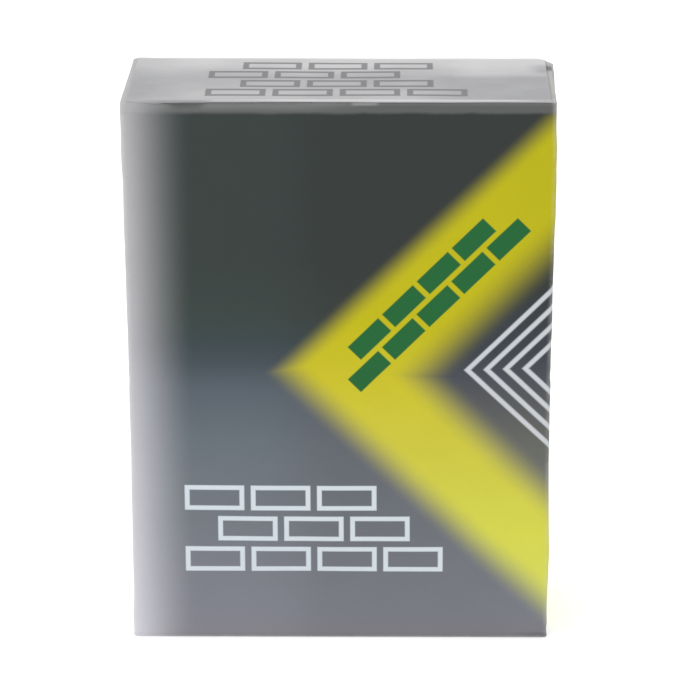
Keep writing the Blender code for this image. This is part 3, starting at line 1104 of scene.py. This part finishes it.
def make_valve_sleeve():
    """The sleeve as one closed skin that turns back into its open mouth."""
    half_width = (SLEEVE_HIGH[1] - SLEEVE_LOW[1]) / 2
    half_height = SLEEVE_FLATNESS * (SLEEVE_HIGH[2] - SLEEVE_LOW[2]) / 2
    middle = (SLEEVE_HIGH[2] + SLEEVE_LOW[2]) / 2
    outlines = []
    for share in np.linspace(0.0, 1.0, SLEEVE_STATIONS):
        x = SLEEVE_LOW[0] + share * (SLEEVE_HIGH[0] - SLEEVE_LOW[0])
        gape = SLEEVE_GAPE * share**3
        outlines.append(sleeve_outline(x, half_width, half_height + gape, middle, SLEEVE_SWAY * share))
    for share in np.linspace(0.0, 1.0, MOUTH_STATIONS):
        x = SLEEVE_HIGH[0] - share * MOUTH_DEPTH
        gap = (half_height + SLEEVE_GAPE - PLY) * (1 - MOUTH_TAPER * share)
        outlines.append(sleeve_outline(x, half_width - PLY, gap, middle, SLEEVE_SWAY))
    count = len(outlines[0])
    faces = [
        (row * count + column, row * count + (column + 1) % count,
         (row + 1) * count + (column + 1) % count, (row + 1) * count + column)
        for row in range(len(outlines) - 1)
        for column in range(count)
    ]
    faces.append(tuple(range(count))[::-1])
    faces.append(tuple(range((len(outlines) - 1) * count, len(outlines) * count)))
    mesh = bpy.data.meshes.new("valve_sleeve_paper")
    mesh.from_pydata([point for outline in outlines for point in outline], [], faces)
    smooth_but_for_folds(mesh)
    return mesh


sleeve = put_in_scene("valve_sleeve_paper", make_valve_sleeve())
sleeve_material = new_material("sleeve_paper")
sleeve_place = add_node(sleeve_material.node_tree, "ShaderNodeTexCoord", "Object")
# A painted fold shadow darkens the sleeve along one line.
off_fold_shadow = abs(parts_of(sleeve_place)[1] - SLEEVE_FOLD_SHADOW_Y)
sleeve_paper_and_shadow = blend_colours(ease_down(off_fold_shadow, *SLEEVE_FOLD_SHADOW_REACH), SLEEVE_INK, SLEEVE_FOLD_SHADOW)
finish_paper(sleeve_material, sleeve_paper_and_shadow, mottle=0.10, roughness=0.7, grain=0.00015)
sleeve.data.materials.append(sleeve_material)
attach(sleeve, "root")
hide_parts("valve_sleeve")


# A cover sheet of printed paper is glued over each folded end. It lies on the folds and on the
# sleeve, shows them as soft ridges, and droops a little over the sack's edges. The front edge of
# the top one has come a little loose and catches the light.
SHEET_LENGTH = 0.307
SHEET_WIDTH = 0.1238
SHEET_THICKNESS = 0.0004
SHEET_GAP = 0.00012
SHEET_STEP = 0.0013
SHEET_SINK = 0.0005
SHEET_DROOP = 0.0014
SHEET_NARROWED = (-0.150, -0.125, 0.980, 1.0)
DROOP_REACH = 0.004
SHEET_RIPPLE = 0.00018
RIPPLE_NOISE = (24.0, 2.0)
LIP_LIFT = 0.0015
LIP_START = -0.133
LIP_LEFT_EASE = 0.012
LIP_RISE_EASE = 0.014
LIP_LOWERED = (-0.02, 0.03, 1.0, 0.75)
LIP_REACH = 0.08
LIP_NOISE = (11.0, 1.0)
OVER_EAR = (-1.2, -0.8)
RAY_LENGTH = 2.0
WELD = 0.00002

sheet_tree, given, sheet_out = new_group(
    "cover_sheet",
    {
        "Sack": "NodeSocketObject", "Sleeve": "NodeSocketObject", "Paper": "NodeSocketMaterial",
        "Length": SHEET_LENGTH, "Width": SHEET_WIDTH, "Step": SHEET_STEP,
        "Thickness": SHEET_THICKNESS, "Gap": SHEET_GAP, "Facing": 1.0, "Level": SACK_TOP,
        "Sink": SHEET_SINK, "Droop": SHEET_DROOP, "Ripple": SHEET_RIPPLE, "Lip Lift": 0.0,
        "Lip Start": LIP_START,
    },
    {"Geometry": "NodeSocketGeometry"},
    "GeometryNodeTree",
)


def at_place(x=0.0, y=0.0, z=0.0):
    """A vector of three values or numbers."""
    return add_node(sheet_tree, "ShaderNodeCombineXYZ", X=x, Y=y, Z=z)


half_sheet = given["Width"] * 0.5
grid = add_node(
    sheet_tree, "GeometryNodeMeshGrid", "Mesh", Size_X=given["Length"], Size_Y=given["Width"],
    Vertices_X=given["Length"] / given["Step"], Vertices_Y=given["Width"] / given["Step"],
)
x, y, _ = parts_of(add_node(sheet_tree, "GeometryNodeInputPosition"))
y = y * ease(x, *SHEET_NARROWED)
flat_place = at_place(x, y)

# The sheet is dropped on the sack and the sleeve by a ray from far outside, at each of its points.
# Past the sack's edge it hangs down by its droop instead.
under = sheet_tree.nodes.new("GeometryNodeJoinGeometry")
for label in ("Sack", "Sleeve"):
    feed(under.inputs[0], add_node(sheet_tree, "GeometryNodeObjectInfo", "Geometry", Object=given[label]))
hit = add_node(
    sheet_tree, "GeometryNodeRaycast", "Hit Position", Target_Geometry=Value(under.outputs[0]),
    Source_Position=at_place(x, y, given["Facing"]), Ray_Direction=at_place(z=given["Facing"] * -1.0),
    Ray_Length=RAY_LENGTH,
)
on_sack = parts_of(hit)[2] * given["Facing"]
over_ear = (x - EAR_X) / EAR_ALONG_X + (y - EAR_Y) / EAR_ALONG_Y
ear_droop = ease(over_ear, *OVER_EAR) * (EAR_ALONG_Z + SHOULDER_DROP)
front_droop = ease_down(y + half_sheet, 0.0, DROOP_REACH, given["Droop"])
left_droop = front_droop * ease_down(x, given["Lip Start"] - LIP_LEFT_EASE, given["Lip Start"], 2.0)
droop = front_droop + left_droop + (ear_droop + given["Sink"])
lowest = given["Level"] * given["Facing"] - droop
laid_height = add_node(
    sheet_tree, "GeometryNodeBlurAttribute", "Value", Value=calc("MAXIMUM", on_sack, lowest), Iterations=2
)
ripple, lip_wave = [
    add_node(sheet_tree, "ShaderNodeTexNoise", "Fac", Vector=flat_place, Scale=scale, Detail=detail)
    for scale, detail in (RIPPLE_NOISE, LIP_NOISE)
]
near_edge = ease_down(y, half_sheet * -1.0, given["Width"] * (LIP_REACH - 0.5))
along_lip = ease(x, given["Lip Start"], given["Lip Start"] + LIP_RISE_EASE) * ease(x, *LIP_LOWERED)
lip = near_edge * along_lip * (given["Lip Lift"] * (lip_wave + 0.5))
rise = given["Gap"] + (lip + ripple * given["Ripple"])
height = (laid_height + rise) * given["Facing"]

# It gets its thickness, with its rim closed, and its faces are turned outwards.
laid_sheet = add_node(
    sheet_tree, "GeometryNodeSetPosition", Geometry=grid, Position=at_place(x, y, height)
)
raised = add_node(
    sheet_tree, "GeometryNodeExtrudeMesh", "Mesh", Mesh=laid_sheet, Individual=False,
    Offset=at_place(z=given["Thickness"] * given["Facing"]), Offset_Scale=1.0,
)
closed = sheet_tree.nodes.new("GeometryNodeJoinGeometry")
feed(closed.inputs[0], raised)
feed(closed.inputs[0], add_node(sheet_tree, "GeometryNodeFlipFaces", Mesh=laid_sheet))
merged = add_node(
    sheet_tree, "GeometryNodeMergeByDistance", Geometry=Value(closed.outputs[0]), Distance=WELD
)
downward = calc("LESS_THAN", given["Facing"], 0.0)
turned = add_node(sheet_tree, "GeometryNodeFlipFaces", Mesh=merged, Selection=downward)
real = add_node(sheet_tree, "GeometryNodeRealizeInstances", Geometry=turned)
painted = add_node(sheet_tree, "GeometryNodeSetMaterial", Geometry=real, Material=given["Paper"])
feed(sheet_out["Geometry"], painted)

# The covers are printed grey, with courses of bricks in outline on the top one, and soft random
# blotches. Light and shade are painted over the grey: lighter towards the back half, along the back
# edge, at the right end and in the middle of the front, darker in front elsewhere and beside the
# dog-ear, with a painted shade over the slit under the loose lip and a painted highlight along the lip.
# A lighter or darker place is a product of smooth steps. Each step goes across the sack or towards its
# back: from where to where, in metres, and the shares there.
# The darker and the lighter grey of the covers: painted light and shade, and the random blotches, blend
# between them.
COVER_DARK = srgb(152, 152, 154)
COVER_LIGHT = srgb(198, 198, 199)
# The colour of a painted highlight on the top cover's front lip.
COVER_LIP_HIGHLIGHT = srgb(200, 200, 202)
COVER_MARK = srgb(100, 100, 102)
MARK_DENSITY = 0.8
SLIT_SHADE = srgb(110, 110, 112)
COVER_FRONT = -SHEET_WIDTH / 2
ACROSS, BACKWARD = 0, 1
PAINTED_LIGHT_PLACES = {
    "the back half": [(BACKWARD, 0.0, 0.050, 0.05, 0.60)],
    "the right end": [(ACROSS, 0.05, 0.11, 0.0, 1.0), (BACKWARD, 0.002, 0.018, -0.06, 0.33)],
    "the middle of the front": [
        (ACROSS, -0.145, -0.10, 0.0, 1.0),
        (ACROSS, 0.04, 0.09, 1.0, 0.0),
        (BACKWARD, -0.04, -0.02, 0.28, 0.12),
    ],
    "the back edge": [(BACKWARD, 0.054, 0.061, 0.0, 0.35)],
    "darker beside the dog-ear": [
        (ACROSS, 0.136, 0.153, 0.0, 1.0),
        (BACKWARD, 0.012, 0.026, 0.0, -0.55),
        (BACKWARD, 0.038, 0.048, 1.0, 0.0),
    ],
}
OVER_SLIT = [
    (ACROSS, -0.150, -0.128, 0.0, 1.0),
    (ACROSS, -0.100, -0.088, 1.0, 0.0),
    (BACKWARD, -0.0620, -0.0545, 0.6, 0.0),
]
# Painted highlight along the front lip, fading towards both ends.
LIP_HIGHLIGHT_PLACE = [
    (BACKWARD, COVER_FRONT + 0.0012, COVER_FRONT + 0.0062, 0.85, 0.0),
    (BACKWARD, COVER_FRONT, COVER_FRONT + 0.0018, 0.4, 1.0),
    (ACROSS, -0.105, -0.025, 0.0, 1.0),
    (ACROSS, 0.125, 0.150, 1.0, 0.35),
]
TOP_COURSES = {
    "Brick_Length": 49.0, "Course_Height": 24.5, "Joint": 5.0, "Line": 4.5, "Bricks": 4.0, "Courses": 4.0,
}
TOP_COURSES_LEFT = -0.100
TOP_COURSES_FRONT = -0.048
TOP_ABOVE = 0.2
BLOTCH_SCALE = 14.0
BLOTCHES = (0.35, 0.65, -0.10, 0.10)
RIM_RUB = (0.0, 0.0025, 0.12)

cover_material = new_material("cover_paper")
cover_place = add_node(cover_material.node_tree, "ShaderNodeTexCoord", "Object")
cover_x, cover_y, cover_z = parts_of(cover_place)


def share_there(steps):
    """The product of smooth steps over a cover sheet."""
    first, *others = [ease((cover_x, cover_y)[way], *limits) for way, *limits in steps]
    for other in others:
        first = first * other
    return first


# Painted light and shade over the covers, with random blotches added.
painted_light_and_blotches = sum(share_there(steps) for steps in PAINTED_LIGHT_PLACES.values())
painted_light_and_blotches = painted_light_and_blotches + ease(cloudy(cover_place, BLOTCH_SCALE, 3.0), *BLOTCHES)
top_courses = place_group(
    cover_material.node_tree, course_group, Across=(cover_x - TOP_COURSES_LEFT) * MILLIMETRES,
    Up=(cover_y - TOP_COURSES_FRONT) * MILLIMETRES, **TOP_COURSES,
)["Ink"]
top_courses = top_courses * calc("GREATER_THAN", cover_z, TOP_ABOVE)
cover = print_over(blend_colours(painted_light_and_blotches, COVER_DARK, COVER_LIGHT), (
    (top_courses * MARK_DENSITY, COVER_MARK),
    (share_there(OVER_SLIT), SLIT_SHADE),
    (share_there(LIP_HIGHLIGHT_PLACE), COVER_LIP_HIGHLIGHT),
))
to_rim = calc("MINIMUM", SHEET_LENGTH / 2 - abs(cover_x), SHEET_WIDTH / 2 - cover_y)
finish_paper(cover_material, cover, rub=ease_down(to_rim, *RIM_RUB))

# The node group makes both cover sheets. The bottom one faces down and has no lifted lip.
sheet_inputs = {item.name: item.identifier for item in sheet_tree.interface.items_tree}
for name, node, values in (
    ("top_cover_sheet", "top_patch", {"Lip Lift": LIP_LIFT}),
    ("bottom_cover_sheet", "bottom_patch", {"Facing": -1.0, "Level": SACK_BASE, "Ripple": 0.0}),
):
    sheet = put_in_scene(name, bpy.data.meshes.new(name + "_start"))
    modifier = sheet.modifiers.new("cover_sheet", "NODES")
    modifier.node_group = sheet_tree
    values = {**values, "Sack": sack, "Sleeve": sleeve, "Paper": cover_material}
    for label, value in values.items():
        modifier[sheet_inputs[label]] = value
    graph = bpy.context.evaluated_depsgraph_get()
    sheet_mesh = bpy.data.meshes.new_from_object(sheet.evaluated_get(graph))
    sheet.modifiers.clear()
    sheet.data = sheet_mesh
    sheet_mesh.name = name
    smooth_but_for_folds(sheet_mesh)
    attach(sheet, "root")
    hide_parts(node)
